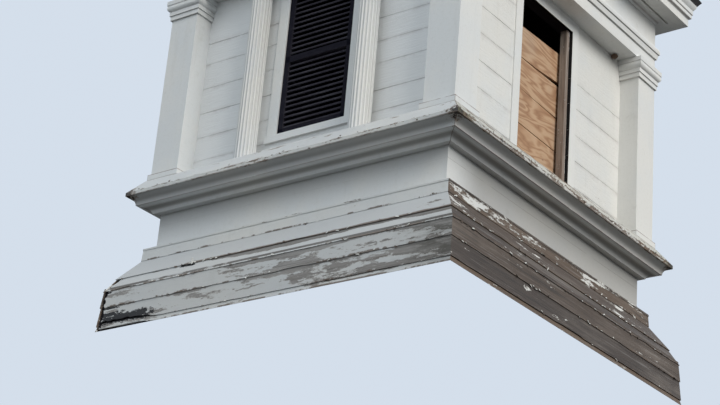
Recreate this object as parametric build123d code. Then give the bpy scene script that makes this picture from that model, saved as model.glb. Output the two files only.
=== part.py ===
from build123d import *
import math
import os

# A timber church steeple, in millimetres: a flared skirt of lapped boards, a pedestal, a moulded
# ledge, a square belfry with corner pilasters and round fluted columns, an entablature and a
# shingled spire. +Z is up, the front faces -Y, and the origin is the centre of the base.

# Plan of the belfry
half_width = 1525.0        # centre to the faces of the corner pilasters
set_back = 185.0           # siding behind the pilaster faces
wall_thickness = 103.0     # studs, siding and inner face

# Pedestal and skirt
pedestal_inset = 88.0      # pedestal face behind the pilaster faces
pedestal_thickness = 120.0
pedestal_height = 321.0    # from the top of the skirt to the ledge
skirt_thickness = 30.0     # boards and furring
lap_step = 13.0            # how far each board stands in front of the one below it
skirt_cap_rise = 40.0      # slope of the board that closes the top of the skirt
skirt_top_reach = 71.0     # top of the first board beyond the pedestal
# Each course from the top down: its exposed height, and its foot's reach beyond the pedestal
first_course_height = 108.0
first_course_reach = 78.0
second_course_height = 187.0
second_course_reach = 208.0
third_course_height = 122.0
third_course_reach = 268.0
fourth_course_height = 144.0
fourth_course_reach = 273.0
fifth_course_height = 160.0
fifth_course_reach = 278.0
foot_course_height = 42.0
foot_course_reach = 281.0

# Ledge below the belfry
bed_drop = 45.0            # height of the hollow bed moulding
bed_start = 50.0           # flat underside beyond the pedestal
bed_reach = 118.0          # bed moulding's top beyond the pedestal
bed_curve = 14.0           # depth of its hollow
ledge_soffit_rise = 11.0
crown_start = 153.0        # foot of the hollow crown moulding beyond the pedestal
crown_reach = 212.0        # its top
crown_height = 70.0
crown_curve = 16.0         # depth of its hollow
lip_reach = 220.0          # lip of the ledge beyond the pedestal
lip_height = 31.0
wash_height = 131.0        # steep sloped top behind the lip
deck_reach = 113.0         # flat part of the ledge beyond the pedestal
floor_thickness = 140.0    # joists and boards

# Corner pilasters
pilaster_height = 1728.0   # from the deck to the soffit of the architrave
plinth_height = 56.0
plinth_reach = 20.0
capital_drop = 188.0       # foot of the capital below the soffit of the architrave
neck_fillet_reach = 15.0
neck_fillet_height = 43.0
second_fillet_reach = 24.0
second_fillet_height = 40.0
ovolo_reach = 43.0
ovolo_height = 45.0
ovolo_curve = 9.0
ovolo_fillet_height = 15.0
abacus_reach = 47.0
abacus_height = 40.0
abacus_wash = 35.0         # sloped top of the abacus in front of the architrave

# Openings, with their louvres, casings and boards
louvre_opening_half = 345.0    # front and back
side_opening_half = 392.5      # left and right
opening_head_drop = 115.0      # head below the soffit of the architrave
sill_height = 241.0            # bottom of the louvre above the deck
casing_width = 98.0
casing_reach = 12.0            # casing in front of the siding
sill_board_height = 63.0
sill_reach = 24.0
sill_ear = 17.0
louvre_depth = 52.0
louvre_stile = 50.0
louvre_bottom_rail = 50.0
louvre_mid_rail = 54.0
louvre_mid_height = 692.0      # centre of the middle rail above the louvre's bottom
louvre_top_rail = 50.0
blade_pitch = 47.0
blade_width = 60.0
blade_thickness = 9.0
blade_angle = 45.0
board_thickness = 20.0
board_lap = 50.0               # boards run past the opening behind the wall
# Boards from the bottom up and the gap above each: heights at the left end, middle and right end
bottom_board = (501.0, 488.0, 478.0)
bottom_gap = (9.0, 9.0, 9.0)
second_board = (316.0, 307.5, 295.0)
second_gap = (1.5, 5.0, 15.0)
third_board = (273.5, 286.5, 301.5)
third_gap = (6.0, 12.0, 44.0)
top_board = (277.0, 292.0, 272.0)
post_width = 42.0
post_depth = 64.0
post_gap = 12.5                # open to the right of the post
post_stand_off = 25.0          # post in front of the wall's inner face

# Round fluted columns of the front and back
column_spacing = 578.0         # axis from the middle of the face
column_offset = 103.0          # axis in front of the siding
column_foot_radius = 90.0
column_neck_radius = 86.0
flute_count = 18
flute_depth = 7.0
flute_radius = 14.0
flute_drop = 209.0             # rounded tops of the flutes below the soffit of the architrave
flute_sides = 12               # facets round the cutter
flute_top_rings = 2            # facets up its rounded top
column_sides = 36              # facets round the shaft
echinus_height = 95.0
echinus_rings = 4              # facets up the rounded capital
abacus_margin = 3.0            # column's abacus beyond its echinus
column_abacus_height = 62.0

# Entablature
architrave_height = 122.0
astragal_foot_reach = 15.0     # sloped lower band
astragal_band_reach = 24.0
astragal_band_height = 45.0
astragal_quirk_reach = 17.0    # narrow sunk line between the band and the bead
astragal_quirk_height = 6.0
astragal_bead_reach = 33.0
astragal_shoulder_reach = 27.0
astragal_bead_height = 53.0
astragal_bead_curve = 4.5
astragal_wash_height = 23.0    # sloped top up to the frieze
frieze_height = 266.0
bed_mould_size = 38.0
bed_mould_curve = 6.0
soffit_reach = 218.0           # corona beyond the frieze
soffit_groove_start = 70.0     # groove in the side soffits, beyond the frieze
soffit_groove_width = 20.0
soffit_groove_depth = 25.0
soffit_groove_end = 87.0       # its end beyond the front and back frieze
corona_height = 71.0
first_step_reach = 242.0
first_step_height = 48.0
first_step_slope = 15.0        # rise of its sloped underside
second_step_reach = 250.0
second_step_height = 50.0
second_step_slope = 8.0
crown_top_reach = 277.0
cornice_crown_height = 52.0
cornice_crown_curve = 4.0

# Spire
eave_pitch = 34.0
spire_pitch = 70.0
spire_break_half = 1400.0      # half width where the flared eave meets the steep spire
roof_thickness = 59.0
rafter_seat_half = 1450.0
cap_seat_half = 75.0
cap_overhang = 22.0
cap_height = 330.0
cap_flange_height = 26.0
cap_point_half = 16.0
finial_sink = 8.0              # finial pressed over the cap's point
finial_foot_half = 22.0
finial_half = 44.0
finial_flare_height = 40.0
finial_point_height = 78.0
finial_tip_half = 5.0

# Levels, widths and lists that follow from the sizes above
skirt_courses = (
    (first_course_height, first_course_reach),
    (second_course_height, second_course_reach),
    (third_course_height, third_course_reach),
    (fourth_course_height, fourth_course_reach),
    (fifth_course_height, fifth_course_reach),
    (foot_course_height, foot_course_reach),
)
boards_up = (bottom_board, second_board, third_board, top_board)
board_gaps = (bottom_gap, second_gap, third_gap)
pedestal_half = half_width - pedestal_inset
siding_half = half_width - set_back
inner_half = siding_half - wall_thickness
pilaster_width = set_back + wall_thickness
skirt_height = sum(height for height, reach in skirt_courses)
ledge_level = skirt_height + pedestal_height
lip_level = ledge_level + bed_drop + ledge_soffit_rise + crown_height
deck_level = lip_level + lip_height + wash_height
soffit_level = deck_level + pilaster_height
head_level = soffit_level - opening_head_drop
capital_level = soffit_level - capital_drop
shaft_height = pilaster_height - echinus_height - column_abacus_height
sill_level = deck_level + sill_height
astragal_level = soffit_level + architrave_height
bead_level = astragal_level + astragal_band_height + astragal_quirk_height
frieze_level = bead_level + astragal_bead_height + astragal_wash_height
cornice_level = frieze_level + frieze_height
crown_level = cornice_level + corona_height + first_step_height + second_step_height + cornice_crown_height
eave_half = half_width + crown_top_reach

SIDES = (("front", 0), ("right", 90), ("back", 180), ("left", 270))
LOUVRED = ("front", "back", "left")
COLUMNED = ("front", "back")
GROOVED = ("right", "left")
REACH = 3 * half_width


def turned(shape, angle):
    """A piece drawn on the front, turned to its own side."""
    return Rotation(0, 0, angle) * shape


def block(x_range, y_range, z_range):
    """A box between two values on each axis."""
    (x0, x1), (y0, y1), (z0, z1) = x_range, y_range, z_range
    box = Box(x1 - x0, y1 - y0, z1 - z0, align=(Align.MIN, Align.MIN, Align.MIN))
    return Pos(x0, y0, z0) * box


def outline(*points):
    """A closed face in (reach, level), drawn in the plane across a front moulding.

    A point with a third value ends an arc of that sagitta, positive to the left of its run.
    """
    edges = []
    for i, point in enumerate(points):
        last = points[i - 1]
        start, end = (0, -last[0], last[1]), (0, -point[0], point[1])
        if len(point) == 3:
            run, rise = point[0] - last[0], point[1] - last[1]
            length = math.hypot(run, rise)
            middle = (
                0,
                -((last[0] + point[0]) / 2 - rise / length * point[2]),
                (last[1] + point[1]) / 2 + run / length * point[2],
            )
            edges.append(ThreePointArc(start, middle, end))
        else:
            edges.append(Line(start, end))
    return make_face(edges)


def mitred(face):
    """One side of a square ring with this outline, cut at 45 degrees at its ends."""
    bar = extrude(face, REACH, dir=(1, 0, 0), both=True)
    corner = make_face(Polyline((0, 0), (-REACH, -REACH), (REACH, -REACH), close=True))
    return bar & extrude(corner, 4 * REACH)


def skirt_side():
    """Lapped boards that flare out from the pedestal, with a sloped cap over the first."""
    level = skirt_height
    outer = [(pedestal_half, level + skirt_cap_rise), (pedestal_half + skirt_top_reach, level)]
    for i, (height, reach) in enumerate(skirt_courses):
        level -= height
        outer.append((pedestal_half + reach, level))
        if i < len(skirt_courses) - 1:
            outer.append((pedestal_half + reach - lap_step, level))
    (first_height, first_reach), (last_height, last_reach) = skirt_courses[0], skirt_courses[-1]
    behind = pedestal_half - lap_step - skirt_thickness
    inner = [
        (behind + last_reach, 0),
        (behind + first_reach, skirt_height - first_height),
        (pedestal_half, skirt_height - skirt_thickness),
    ]
    return mitred(outline(*outer, *inner))


def pedestal_side():
    """A plain wall from the base up to the belfry floor."""
    top = deck_level - floor_thickness
    inner = pedestal_half - pedestal_thickness
    return mitred(outline((inner, 0), (pedestal_half, 0), (pedestal_half, top), (inner, top)))


def ledge_side():
    """Hollow bed moulding and crown, lip and steep wash, with a flat deck on top."""
    soffit = ledge_level + bed_drop
    return mitred(
        outline(
            (pedestal_half, ledge_level),
            (pedestal_half + bed_start, ledge_level),
            (pedestal_half + bed_reach, soffit, bed_curve),
            (pedestal_half + crown_start, soffit + ledge_soffit_rise),
            (pedestal_half + crown_reach, lip_level, crown_curve),
            (pedestal_half + lip_reach, lip_level),
            (pedestal_half + lip_reach, lip_level + lip_height),
            (pedestal_half + deck_reach, deck_level),
            (pedestal_half, deck_level),
        )
    )


def wall(opening_half, sill):
    """A belfry wall between two corner posts, with its opening cut through."""
    end = half_width - pilaster_width
    y_range = (-siding_half, -inner_half)
    panel = block((-end, end), y_range, (deck_level, soffit_level))
    return panel - block((-opening_half, opening_half), y_range, (sill, head_level))


def capital_outline(face):
    """Fillets, ovolo, abacus and wash of a pilaster's capital, from its post's face out."""
    fillet_top = capital_level + neck_fillet_height
    ovolo_foot = fillet_top + second_fillet_height
    ovolo_top = ovolo_foot + ovolo_height
    abacus_foot = ovolo_top + ovolo_fillet_height
    abacus_top = abacus_foot + abacus_height
    return outline(
        (face / 2, capital_level),
        (face + neck_fillet_reach, capital_level),
        (face + neck_fillet_reach, fillet_top),
        (face + second_fillet_reach, fillet_top),
        (face + second_fillet_reach, ovolo_foot),
        (face + ovolo_reach, ovolo_top, -ovolo_curve),
        (face + ovolo_reach, abacus_foot),
        (face + abacus_reach, abacus_foot),
        (face + abacus_reach, abacus_top),
        (face, abacus_top + abacus_wash),
        (face / 2, abacus_top + abacus_wash),
    )


def pilaster():
    """The front left corner post, with its plinth and moulded capital."""
    inner = half_width - pilaster_width
    plinth_half = half_width + plinth_reach
    plinth_in = inner - plinth_reach
    centre = -(half_width + inner) / 2
    moulding = mitred(capital_outline(pilaster_width / 2))
    whole = block((-half_width, -inner), (-half_width, -inner), (deck_level, soffit_level))
    whole += block(
        (-plinth_half, -plinth_in), (-plinth_half, -plinth_in), (deck_level, deck_level + plinth_height)
    )
    for side, angle in SIDES:
        whole += Pos(centre, centre, 0) * turned(moulding, angle)
    walls = block((-siding_half, 0), (-siding_half, 0), (deck_level, soffit_level))
    walls -= block((-siding_half, -inner), (-siding_half, -inner), (deck_level, soffit_level))
    beam = block((-half_width, 0), (-half_width, 0), (soffit_level, cornice_level))
    return whole - walls - beam


def casing(opening_half, sill):
    """Flat boards round an opening, with a sill where the opening has one."""
    y_range = (-siding_half - casing_reach, -siding_half)
    outer = opening_half + casing_width
    frame = block((-outer, outer), y_range, (sill, soffit_level))
    frame -= block((-opening_half, opening_half), y_range, (sill, head_level))
    if sill > deck_level:
        y_sill = (-siding_half - sill_reach, -siding_half)
        ends = outer + sill_ear
        frame += block((-ends, ends), y_sill, (sill - sill_board_height, sill))
    return frame


def louvre(opening_half):
    """A framed louvre with a middle rail and sloping blades."""
    y_range = (-siding_half, -siding_half + louvre_depth)
    middle = sill_level + louvre_mid_height
    inner = opening_half - louvre_stile
    low = sill_level + louvre_bottom_rail
    high = head_level - louvre_top_rail
    frame = block((-opening_half, opening_half), y_range, (sill_level, head_level))
    frame -= block((-inner, inner), y_range, (low, middle - louvre_mid_rail / 2))
    frame -= block((-inner, inner), y_range, (middle + louvre_mid_rail / 2, high))
    blade = Rotation(blade_angle, 0, 0) * Box(2 * inner, blade_width, blade_thickness)
    bays = ((low, middle - louvre_mid_rail / 2), (middle + louvre_mid_rail / 2, high))
    for bottom, top in bays:
        count = int((top - bottom) / blade_pitch)
        first = (bottom + top - (count - 1) * blade_pitch) / 2
        for i in range(count):
            place = Pos(0, -siding_half + louvre_depth / 2, first + i * blade_pitch)
            frame += place * blade
    slab = block((-opening_half, opening_half), y_range, (sill_level, head_level))
    return frame & slab


def opening_boards():
    """Rough boards nailed behind the wall, each a little askew, over the lower part of the right opening."""
    ends = side_opening_half + board_lap
    places = (-ends, 0, ends)
    boards = []
    feet = [deck_level] * len(places)
    for i, heights in enumerate(boards_up):
        tops = [foot + height for foot, height in zip(feet, heights)]
        corners = [*zip(places, feet), *reversed(list(zip(places, tops)))]
        face = make_face(Polyline([(x, -inner_half, z) for x, z in corners], close=True))
        boards.append(extrude(face, board_thickness, dir=(0, 1, 0)))
        if i < len(board_gaps):
            feet = [top + gap for top, gap in zip(tops, board_gaps[i])]
    return Compound(children=boards)


def opening_post():
    """An old louvre stile that still stands in the right opening."""
    right = side_opening_half - post_gap
    back = -inner_half - post_stand_off
    return block((right - post_width, right), (back - post_depth, back), (deck_level, head_level))


def flute():
    """The cutter of one flute on the +X side of a shaft, leaning with it, with a rounded top."""
    length = pilaster_height - flute_drop - flute_radius
    lean = math.degrees(math.atan((column_foot_radius - column_neck_radius) / shaft_height))
    rings = [Pos(0, 0, -flute_radius) * RegularPolygon(flute_radius, flute_sides)]
    for i in range(flute_top_rings):
        angle = math.pi / 2 * i / flute_top_rings
        ring = RegularPolygon(flute_radius * math.cos(angle), flute_sides)
        rings.append(Pos(0, 0, length + flute_radius * math.sin(angle)) * ring)
    foot = column_foot_radius + flute_radius - flute_depth
    return Pos(foot, 0, deck_level) * Rotation(0, -lean, 0) * loft(rings, ruled=True)


def column():
    """A slim fluted column with a rounded capital and a square abacus, at the origin."""
    swell = column_offset - abacus_margin - column_neck_radius
    rings = [(column_foot_radius, 0), (column_neck_radius, shaft_height)]
    for i in range(1, echinus_rings + 1):
        angle = math.pi / 2 * i / echinus_rings
        radius = column_neck_radius + swell * math.sin(angle)
        rings.append((radius, shaft_height + echinus_height * (1 - math.cos(angle))))
    flat_side = Rotation(0, 0, 180 / column_sides)
    sections = [
        Pos(0, 0, deck_level + height) * flat_side * RegularPolygon(radius, column_sides)
        for radius, height in rings
    ]
    shaft = loft(sections, ruled=True)
    shaft -= [Rotation(0, 0, i * 360 / flute_count) * flute() for i in range(flute_count)]
    edge = (-column_offset, column_offset)
    return shaft + block(edge, edge, (soffit_level - column_abacus_height, soffit_level))


def entablature_side():
    """Architrave, astragal of a band and a bead, and plain frieze, on the walls and corner posts."""
    band_top = astragal_level + astragal_band_height
    return mitred(
        outline(
            (inner_half, soffit_level),
            (half_width, soffit_level),
            (half_width, astragal_level),
            (half_width + astragal_foot_reach, astragal_level),
            (half_width + astragal_band_reach, band_top),
            (half_width + astragal_quirk_reach, band_top),
            (half_width + astragal_quirk_reach, bead_level),
            (half_width + astragal_bead_reach, bead_level),
            (
                half_width + astragal_shoulder_reach,
                bead_level + astragal_bead_height,
                -astragal_bead_curve,
            ),
            (half_width, frieze_level),
            (half_width, cornice_level),
            (inner_half, cornice_level),
        )
    )


def cornice_side(grooved):
    """Bed moulding, soffit, corona and stepped crown, with a sloped seat for the roof."""
    rise = math.tan(math.radians(eave_pitch))
    step_1 = cornice_level + corona_height
    step_2 = step_1 + first_step_height
    step_3 = step_2 + second_step_height
    side = mitred(
        outline(
            (inner_half, cornice_level),
            (half_width, cornice_level),
            (half_width, cornice_level - bed_mould_size),
            (half_width + bed_mould_size, cornice_level, bed_mould_curve),
            (half_width + soffit_reach, cornice_level),
            (half_width + soffit_reach, step_1),
            (half_width + first_step_reach, step_1 + first_step_slope),
            (half_width + first_step_reach, step_2),
            (half_width + second_step_reach, step_2 + second_step_slope),
            (half_width + second_step_reach, step_3),
            (eave_half, crown_level, -cornice_crown_curve),
            (rafter_seat_half, crown_level + (eave_half - rafter_seat_half) * rise),
            (inner_half, crown_level + (eave_half - rafter_seat_half) * rise),
        )
    )
    if grooved:
        end = half_width + soffit_groove_end
        near = half_width + soffit_groove_start
        y_range = (-near - soffit_groove_width, -near)
        side -= block((-end, end), y_range, (cornice_level, cornice_level + soffit_groove_depth))
    return side


def spire_outline():
    """Outer and inner lines of the roof, from the eave to the cap."""
    flare, steep = math.radians(eave_pitch), math.radians(spire_pitch)
    tip = (eave_half + roof_thickness * math.sin(flare), crown_level + roof_thickness * math.cos(flare))
    outer_break = (spire_break_half, tip[1] + (tip[0] - spire_break_half) * math.tan(flare))
    turn = (steep - flare) / 2
    reach = roof_thickness / math.cos(turn)
    along = (steep + flare) / 2
    inner_break = (outer_break[0] - reach * math.sin(along), outer_break[1] - reach * math.cos(along))
    top = outer_break[1] + (spire_break_half - cap_seat_half) * math.tan(steep)
    inner_top = cap_seat_half - roof_thickness / math.sin(steep)
    return tip, outer_break, (cap_seat_half, top), (inner_top, top), inner_break


def spire_side():
    """One shingled slope: a flared eave and a steep face."""
    tip, outer_break, outer_top, inner_top, inner_break = spire_outline()
    return mitred(outline((eave_half, crown_level), tip, outer_break, outer_top, inner_top, inner_break))


def tapered(low_half, low, high_half, high):
    """A square block that tapers from one level to another."""
    return loft(
        [
            Pos(0, 0, low) * Rectangle(2 * low_half, 2 * low_half),
            Pos(0, 0, high) * Rectangle(2 * high_half, 2 * high_half),
        ]
    )


def spire_cap():
    """A sheet metal cap on the point of the spire, with a flange and a square finial."""
    base = spire_outline()[2][1]
    edge = cap_seat_half + cap_overhang
    flange = block((-edge, edge), (-edge, edge), (base, base + cap_flange_height))
    slope = tapered(edge, base + cap_flange_height, cap_point_half, base + cap_height)
    foot = base + cap_height - finial_sink
    widest = foot + finial_flare_height
    finial = tapered(finial_foot_half, foot, finial_half, widest)
    finial += tapered(finial_half, widest, finial_tip_half, widest + finial_point_height)
    return flange + slope + finial


def build():
    """Every node, by name."""
    nodes = {}
    round_column = column()
    for side, angle in SIDES:
        louvred = side in LOUVRED
        opening_half = louvre_opening_half if side in COLUMNED else side_opening_half
        sill = sill_level if louvred else deck_level
        nodes[f"{side}_skirt"] = turned(skirt_side(), angle)
        nodes[f"{side}_pedestal_wall"] = turned(pedestal_side(), angle)
        nodes[f"{side}_ledge"] = turned(ledge_side(), angle)
        nodes[f"{side}_wall"] = turned(wall(opening_half, sill), angle)
        nodes[f"{side}_casing"] = turned(casing(opening_half, sill), angle)
        nodes[f"{side}_entablature"] = turned(entablature_side(), angle)
        nodes[f"{side}_cornice"] = turned(cornice_side(side in GROOVED), angle)
        nodes[f"{side}_spire_slope"] = turned(spire_side(), angle)
        if louvred:
            nodes[f"{side}_louvre"] = turned(louvre(opening_half), angle)
        if side in COLUMNED:
            for hand, sign in (("left", -1), ("right", 1)):
                place = Pos(sign * column_spacing, -siding_half - column_offset, 0)
                nodes[f"{side}_{hand}_column"] = turned(place * round_column, angle)
    for corner, angle in (("front_left", 0), ("front_right", 90), ("back_right", 180), ("back_left", 270)):
        nodes[f"{corner}_pilaster"] = turned(pilaster(), angle)
    nodes["belfry_floor"] = block(
        (-pedestal_half, pedestal_half),
        (-pedestal_half, pedestal_half),
        (deck_level - floor_thickness, deck_level),
    )
    nodes["right_opening_boards"] = turned(opening_boards(), 90)
    nodes["right_opening_post"] = turned(opening_post(), 90)
    nodes["spire_cap"] = spire_cap()
    return nodes


os.makedirs("parts", exist_ok=True)
for name, shape in build().items():
    export_step(shape, f"parts/{name}.step")
    print(name, len(shape.solids()), round(shape.volume / 1e6, 2), "dm3")
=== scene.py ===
import math
import random

import bmesh
import bpy
from mathutils import Matrix, Vector, noise


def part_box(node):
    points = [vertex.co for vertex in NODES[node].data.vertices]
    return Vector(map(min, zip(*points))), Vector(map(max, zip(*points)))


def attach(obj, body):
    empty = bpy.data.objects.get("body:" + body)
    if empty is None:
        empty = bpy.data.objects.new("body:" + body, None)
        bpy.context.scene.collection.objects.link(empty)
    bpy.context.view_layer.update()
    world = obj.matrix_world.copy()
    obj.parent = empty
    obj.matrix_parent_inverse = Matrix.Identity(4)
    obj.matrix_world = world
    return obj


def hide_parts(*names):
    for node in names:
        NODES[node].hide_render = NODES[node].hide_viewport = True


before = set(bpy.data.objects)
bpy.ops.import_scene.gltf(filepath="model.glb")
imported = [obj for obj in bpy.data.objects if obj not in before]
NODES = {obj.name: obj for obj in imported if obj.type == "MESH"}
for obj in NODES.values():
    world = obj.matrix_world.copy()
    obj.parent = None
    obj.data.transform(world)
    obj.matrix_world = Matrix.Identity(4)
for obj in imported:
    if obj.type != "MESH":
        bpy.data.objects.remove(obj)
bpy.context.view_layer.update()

# Sizes are in metres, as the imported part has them. Boards run along X on the shaded front and
# the back, and along Y on the sunlit right and the left
SIDES = ("front", "right", "back", "left")
GRAIN = {"front": "X", "right": "Y", "back": "X", "left": "Y"}
TURN = {side: Matrix.Rotation(math.radians(90 * i), 4, "Z") for i, side in enumerate(SIDES)}

# Belfry walls, as half widths from the steeple's axis, and their levels
wall_low, wall_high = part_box("front_wall")
DECK = wall_low.z
SOFFIT = wall_high.z
SIDING = -wall_low.y
WALL_BACK = -wall_high.y
BAY_END = wall_high.x
PLINTH = 0.056
CAPITAL_LINES = (-0.188, -0.145, -0.105, -0.045)

# Openings: their half widths by grain, the old post's far edge and the louvres in them
OPENING = {"X": 0.345, "Y": 0.3925}
HEAD = SOFFIT - 0.115
POST_EDGE = 0.380
LOUVRE_STILE = 0.050
LOUVRE_SILL = DECK + 0.241
LOUVRE_RAILS = (
    (LOUVRE_SILL, LOUVRE_SILL + 0.050),
    (LOUVRE_SILL + 0.665, LOUVRE_SILL + 0.719),
    (HEAD - 0.050, HEAD + 0.005),
)

# Pedestal and ledge: the levels of the ledge's foot, bed moulding, crown and lip
PEDESTAL = 1.437
PEDESTAL_JOINT = 0.988
LEDGE = 1.084
BED_TOP = 1.129
CROWN_FOOT = 1.140
LIP_FOOT = DECK - 0.162
LIP_TOP = DECK - 0.131
LIP_REACH = PEDESTAL + 0.220

# Skirt: each course's height, and how far its foot stands out from the pedestal
SKIRT_TOP = 0.763
SKIRT_REACH = 0.071
SKIRT_COURSES = (
    (0.108, 0.078), (0.187, 0.208), (0.122, 0.268),
    (0.144, 0.273), (0.160, 0.278), (0.042, 0.281),
)
# The levels of three courses' upper edges
SECOND_COURSE = 0.655
THIRD_COURSE = 0.468
FOURTH_COURSE = 0.346

# Columns, and the lines of the entablature, cornice and soffit groove
COLUMN_SPACING = 0.578
COLUMN_OFFSET = 0.103
COLUMN_TAPER = 0.004 / 1.571
FLUTE_RADIUS = 0.0835
ASTRAGAL = SOFFIT + 0.122
CORNICE = SOFFIT + 0.515
GROOVE_START = 1.595
GROOVE_END = 1.615


class Value:
    """A node's output, which Python's operators turn into Math nodes."""

    def __init__(self, finish, socket):
        self.finish = finish
        self.socket = socket

    def __add__(self, other):
        return self.finish.math("ADD", self, other)

    __radd__ = __add__

    def __sub__(self, other):
        return self.finish.math("SUBTRACT", self, other)

    def __rsub__(self, other):
        return self.finish.math("SUBTRACT", other, self)

    def __mul__(self, other):
        return self.finish.math("MULTIPLY", self, other)

    __rmul__ = __mul__

    def __abs__(self):
        return self.finish.math("ABSOLUTE", self)


class Finish:
    """A material, or the world, under construction."""

    def __init__(self, name, world=False):
        self.made = (bpy.data.worlds if world else bpy.data.materials).new(name)
        self.made.use_nodes = True
        self.tree = self.made.node_tree
        self.tree.nodes.clear()
        self.output = "ShaderNodeOutputWorld" if world else "ShaderNodeOutputMaterial"
        if not world:
            self.place = self.add("ShaderNodeTexCoord", output="Object")
            self.x = self.add("ShaderNodeSeparateXYZ", {}, {0: self.place}, "X")
            self.y, self.z = (Value(self, self.x.socket.node.outputs[axis]) for axis in "YZ")

    def add(self, kind, settings=None, sockets=None, output=0):
        """Any node: its type, its settings, and its sockets' values or links."""
        node = self.tree.nodes.new(kind)
        for key, value in (settings or {}).items():
            if key == "stops":
                ramp = node.color_ramp
                while len(ramp.elements) < len(value):
                    ramp.elements.new(0.5)
                for element, (position, tint) in zip(ramp.elements, value):
                    element.position = position
                    element.color = colour(tint)
            else:
                setattr(node, key, value)
        for key, value in (sockets or {}).items():
            if isinstance(value, Value):
                self.tree.links.new(value.socket, node.inputs[key])
            else:
                node.inputs[key].default_value = value
        return None if output is None else Value(self, node.outputs[output])

    def math(self, operation, *values):
        return self.add("ShaderNodeMath", {"operation": operation}, dict(enumerate(values)))

    def mapped(self, stretch, shift=(0, 0, 0)):
        sockets = {"Vector": self.place, "Location": shift, "Scale": stretch}
        return self.add("ShaderNodeMapping", {}, sockets)

    def noise(self, scale, stretch=(1, 1, 1), detail=3.0, rough=0.55, shift=(0, 0, 0), distortion=0.0):
        """Cloudy values from 0 to 1, scale to the metre, stretched along an axis."""
        sockets = {"Scale": scale, "Detail": detail, "Roughness": rough, "Distortion": distortion}
        return self.add("ShaderNodeTexNoise", {}, {"Vector": self.mapped(stretch, shift), **sockets})

    def cells(self, scale, stretch=(1, 1, 1), output="Distance"):
        """Distance to scattered points, or the colour of the nearest one."""
        sockets = {"Vector": self.mapped(stretch), "Scale": scale}
        return self.add("ShaderNodeTexVoronoi", {}, sockets, output)

    def step(self, value, low, high):
        """0 below low, 1 above high, smooth between."""
        smooth = {"interpolation_type": "SMOOTHSTEP"}
        return self.add("ShaderNodeMapRange", smooth, {0: value, 1: low, 2: high})

    def band(self, value, middle, half):
        """1 at the middle, 0 half away on both sides."""
        return 1 - self.step(abs(value - middle), 0.0, half)

    def lines(self, rows):
        """Level lines added up, from rows of a level, half a height and a share."""
        return sum(self.band(self.z, level, half) * share for level, half, share in rows)

    def blend(self, first, second, factor):
        """From the first colour to the second."""
        sockets = {0: factor, 6: colour(first), 7: colour(second)}
        return self.add("ShaderNodeMix", {"data_type": "RGBA"}, sockets, 2)

    def attribute(self, name):
        return self.add("ShaderNodeAttribute", {"attribute_name": name}, {}, "Fac")

    def light_path(self, ray):
        return self.add("ShaderNodeLightPath", output=ray)

    def finish(self, base, roughness=0.6, height=None, strength=1.0, distance=0.001, metallic=0.0, gloss=0.5):
        """Closes the material with a surface, and bump from a height in parts of distance."""
        sockets = {"Base Color": colour(base), "Roughness": roughness, "Metallic": metallic}
        sockets["Specular IOR Level"] = gloss
        if height is not None:
            bump = {"Height": height, "Strength": strength, "Distance": distance}
            sockets["Normal"] = self.add("ShaderNodeBump", {}, bump)
        return self.close(self.add("ShaderNodeBsdfPrincipled", {}, sockets))

    def close(self, surface):
        self.add(self.output, {}, {"Surface": surface}, None)
        return self.made


def colour(value):
    """A colour given as three numbers gets its alpha."""
    return (*value, 1) if isinstance(value, tuple) and len(value) == 3 else value


def stretched(grain, along, across):
    """Scales of a pattern whose long way is the grain's axis."""
    return tuple(along if axis == grain else across for axis in "XYZ")


# Paint and dirt, and the colours of painted light and shade
WHITE = (0.80, 0.80, 0.775)
COOL_WHITE = (0.74, 0.765, 0.775)
PAINTED_LIGHT_WHITE = (0.88, 0.90, 0.91)
COOL_GREY = (0.42, 0.44, 0.46)
GRIME = (0.36, 0.35, 0.28)
SPECK = (0.12, 0.075, 0.045)
INSIDE_SHADE = (0.030, 0.027, 0.025)
LINE_SHADE_AND_DIRT = (0.20, 0.135, 0.12)
FLUTE_SHADE = (0.30, 0.30, 0.29)
HOLLOW_SHADE_AND_DIRT = (0.155, 0.145, 0.130)
DASH_BROWN = (0.13, 0.095, 0.070)
ROT = (0.030, 0.024, 0.020)
DAMP = (0.060, 0.055, 0.042)
MOSS = (0.13, 0.13, 0.065)
REVEAL_SHADE = (0.006, 0.005, 0.006)
HOLE_SHADE = (0.007, 0.006, 0.007)
CHIP_BACK = (0.10, 0.072, 0.052)
MUD = ((0.10, 0.062, 0.040), (0.20, 0.14, 0.10))

# Wood
GREY_WOOD = (0.36, 0.35, 0.34)
PALE_WOOD = (0.50, 0.49, 0.48)
DARK_WOOD = (0.15, 0.128, 0.108)
BROWN_WOOD = (0.17, 0.115, 0.075)
AGED_WOOD = (0.085, 0.078, 0.070)
GROOVE_BROWN = (0.030, 0.025, 0.022)
LEDGE_TONES = (DARK_WOOD, BROWN_WOOD, GREY_WOOD)
SKIRT_TONES = {
    "X": (DARK_WOOD, GREY_WOOD, PALE_WOOD),
    "Y": ((0.024, 0.019, 0.017), (0.060, 0.047, 0.040), (0.140, 0.120, 0.106)),
}
# The sheathing inside the walls and behind the skirt's boards is near black, as painted shade
SHADED_SHEATHING_TONES = ((0.006, 0.005, 0.007), (0.014, 0.012, 0.014), (0.025, 0.022, 0.026))
FLOOR_TONES = ((0.06, 0.05, 0.04), (0.16, 0.12, 0.09), (0.26, 0.21, 0.17))
STILE_TONES = ((0.080, 0.065, 0.056), (0.255, 0.195, 0.160), (0.36, 0.31, 0.27))
STILE_STREAK = (0.030, 0.025, 0.024)
STILE_MOSS = (0.10, 0.13, 0.07)
PLYWOOD_RINGS = (
    (0.0, (0.555, 0.375, 0.240)),
    (0.38, (0.520, 0.335, 0.205)),
    (0.66, (0.430, 0.250, 0.140)),
    (1.0, (0.345, 0.185, 0.100)),
)
PLYWOOD_FIBRE = (0.33, 0.19, 0.11)
PLYWOOD_FADED = (0.50, 0.385, 0.29)
PLYWOOD_KNOT = (0.24, 0.12, 0.065)

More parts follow.
